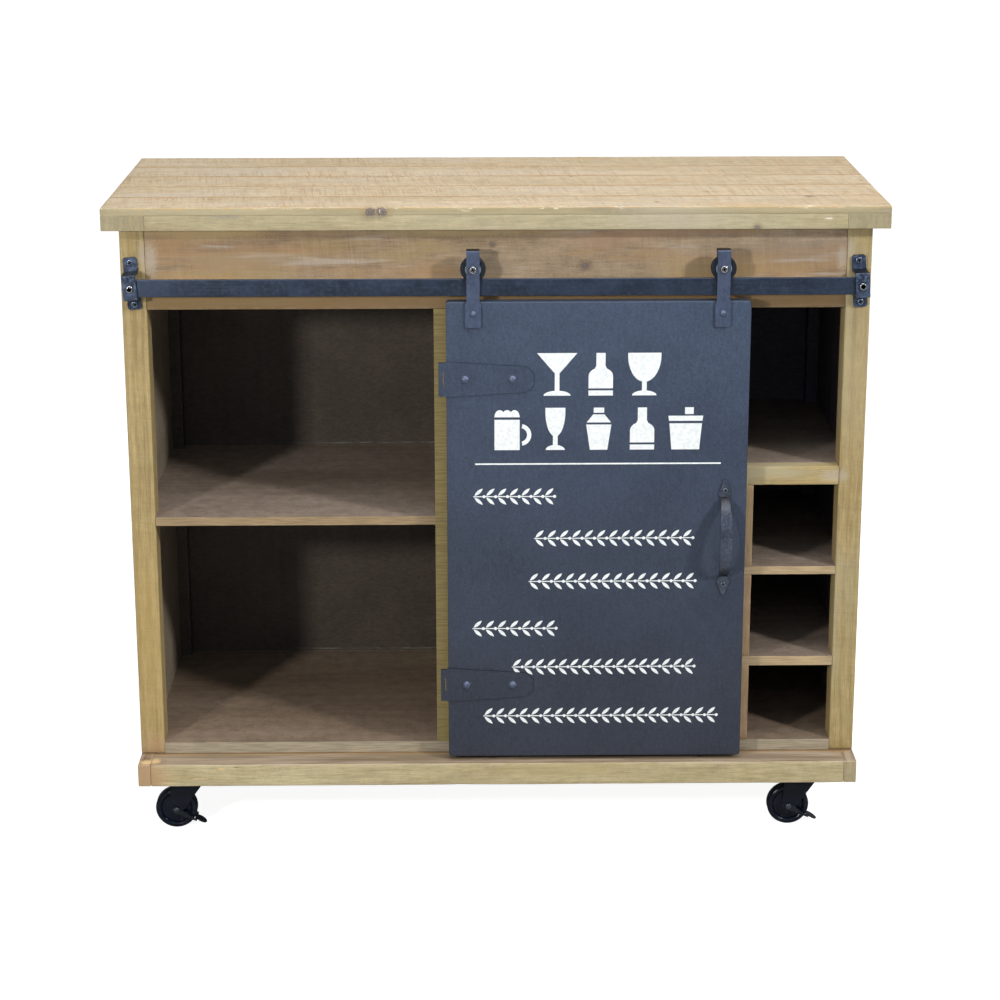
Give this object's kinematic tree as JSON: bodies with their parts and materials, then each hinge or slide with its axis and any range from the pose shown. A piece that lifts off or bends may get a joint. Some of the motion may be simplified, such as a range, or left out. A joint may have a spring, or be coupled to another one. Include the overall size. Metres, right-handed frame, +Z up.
{
  "type": "bar cart",
  "caption": "Farmhouse bar cabinet on casters: planked top, open bays, bottle cubbies and a door that slides on a flat rail with rollers.",
  "frame": {"origin": "middle of the bounding box's bottom face, on the floor under the casters", "axes": "+X to the right seen from the front, +Y from the front to the back, +Z up"},
  "size_m": [1, 0.4708, 0.8467],
  "materials": {
    "wood_top": "honey stained, cross sawn, matt lacquer",
    "wood_top_frame": "honey stained, matt lacquer",
    "wood_frame": "olive stained, rubbed edges",
    "wood_header": "reddish brown stained",
    "wood_base": "olive tan stained",
    "plywood_shelf": "brown stained plywood",
    "plywood_wall": "brown stained plywood",
    "steel_dark": "blue-black satin",
    "zinc": "bright zinc",
    "roller_black": "black",
    "door_paint": "charcoal matt paint on board, plain white ornament",
    "glide_plastic": "black",
    "caster_steel": "gloss black",
    "caster_wheel": "black"
  },
  "bodies": {
    "cabinet": {"top_planks": "wood_top", "top_frame_rails": "wood_top_frame", "top_frame_ends": "wood_top_frame", "post_front_left": "wood_frame", "post_front_right": "wood_frame", "post_rear_left": "wood_frame", "post_rear_right": "wood_frame", "cubby_top_rail": "wood_frame", "cubby_stiles": "wood_frame", "divider_left": "wood_frame", "rear_top_rail": "wood_frame", "header_board": "wood_header", "base_front_rail": "wood_base", "base_rear_rail": "wood_base", "base_end_rails": "wood_base", "floor_panel": "plywood_shelf", "shelf_left": "plywood_shelf", "shelf_middle": "plywood_shelf", "cubby_shelf_top": "plywood_shelf", "cubby_shelf_upper": "plywood_shelf", "cubby_shelf_lower": "plywood_shelf", "side_panel_left": "plywood_wall", "side_panel_right": "plywood_wall", "back_panel": "plywood_wall", "divider_right": "plywood_wall", "door_rail": "steel_dark", "rail_bracket_left": "steel_dark", "rail_bracket_right": "steel_dark", "bracket_screws": "steel_dark", "rail_end_screws": "zinc", "back_panel_screws": "zinc", "caster_plate_screws": "zinc", "caster_plates": "caster_steel", "caster_kingpins": "caster_steel"},
    "door": {"door_panel": "door_paint", "hinge_straps": "steel_dark", "strap_rivets": "steel_dark", "hanger_left": "steel_dark", "hanger_right": "steel_dark", "hanger_rivets": "steel_dark", "axle_bolts": "zinc", "door_pull": "steel_dark", "pull_screws": "steel_dark", "door_glides": "glide_plastic"},
    "roller_left": {"roller_left": "roller_black"},
    "roller_right": {"roller_right": "roller_black"},
    "swivel_front_left": {"caster_fork_front_left": "caster_steel", "caster_axle_front_left": "caster_steel"},
    "wheel_front_left": {"caster_wheel_front_left": "caster_wheel"},
    "pedal_left": {"brake_pedal_left": "caster_steel"},
    "swivel_front_right": {"caster_fork_front_right": "caster_steel", "caster_axle_front_right": "caster_steel"},
    "wheel_front_right": {"caster_wheel_front_right": "caster_wheel"},
    "pedal_right": {"brake_pedal_right": "caster_steel"},
    "swivel_rear_left": {"caster_fork_rear_left": "caster_steel", "caster_axle_rear_left": "caster_steel"},
    "wheel_rear_left": {"caster_wheel_rear_left": "caster_wheel"},
    "swivel_rear_right": {"caster_fork_rear_right": "caster_steel", "caster_axle_rear_right": "caster_steel"},
    "wheel_rear_right": {"caster_wheel_rear_right": "caster_wheel"}
  },
  "joints": [
    {"name": "door_slide", "type": "slide", "parent": "cabinet", "child": "door", "axis": [1, 0, 0], "range_m": [-0.405, 0.15]},
    {"name": "roller_left_spin", "type": "hinge", "parent": "door", "child": "roller_left", "pos_m": [-0.0302, -0.1964, 0.769], "axis": [0, 1, 0], "range_deg": [-1890, 700]},
    {"name": "roller_right_spin", "type": "hinge", "parent": "door", "child": "roller_right", "pos_m": [0.2878, -0.1964, 0.769], "axis": [0, 1, 0], "range_deg": [-1890, 700]},
    {"name": "caster_front_left_swivel", "type": "hinge", "parent": "cabinet", "child": "swivel_front_left", "pos_m": [-0.414, -0.1749, 0.062], "axis": [0, 0, 1], "continuous": true},
    {"name": "caster_front_left_roll", "type": "hinge", "parent": "swivel_front_left", "child": "wheel_front_left", "pos_m": [-0.4343, -0.1749, 0.028], "axis": [0, 1, 0], "continuous": true},
    {"name": "brake_left", "type": "hinge", "parent": "swivel_front_left", "child": "pedal_left", "pos_m": [-0.4343, -0.1749, 0.028], "axis": [0, -1, 0], "range_deg": [0, 30]},
    {"name": "caster_front_right_swivel", "type": "hinge", "parent": "cabinet", "child": "swivel_front_right", "pos_m": [0.414, -0.1749, 0.062], "axis": [0, 0, 1], "continuous": true},
    {"name": "caster_front_right_roll", "type": "hinge", "parent": "swivel_front_right", "child": "wheel_front_right", "pos_m": [0.3937, -0.1749, 0.028], "axis": [0, 1, 0], "continuous": true},
    {"name": "brake_right", "type": "hinge", "parent": "swivel_front_right", "child": "pedal_right", "pos_m": [0.3937, -0.1749, 0.028], "axis": [0, -1, 0], "range_deg": [0, 30]},
    {"name": "caster_rear_left_swivel", "type": "hinge", "parent": "cabinet", "child": "swivel_rear_left", "pos_m": [-0.414, 0.1781, 0.062], "axis": [0, 0, 1], "continuous": true},
    {"name": "caster_rear_left_roll", "type": "hinge", "parent": "swivel_rear_left", "child": "wheel_rear_left", "pos_m": [-0.4343, 0.1781, 0.028], "axis": [0, 1, 0], "continuous": true},
    {"name": "caster_rear_right_swivel", "type": "hinge", "parent": "cabinet", "child": "swivel_rear_right", "pos_m": [0.414, 0.1781, 0.062], "axis": [0, 0, 1], "continuous": true},
    {"name": "caster_rear_right_roll", "type": "hinge", "parent": "swivel_rear_right", "child": "wheel_rear_right", "pos_m": [0.3937, 0.1781, 0.028], "axis": [0, 1, 0], "continuous": true}
  ],
  "couplings": [
    {"joint": "roller_left_spin", "follows": "door_slide", "rad_per_m": 81.301},
    {"joint": "roller_right_spin", "follows": "door_slide", "rad_per_m": 81.301}
  ]
}
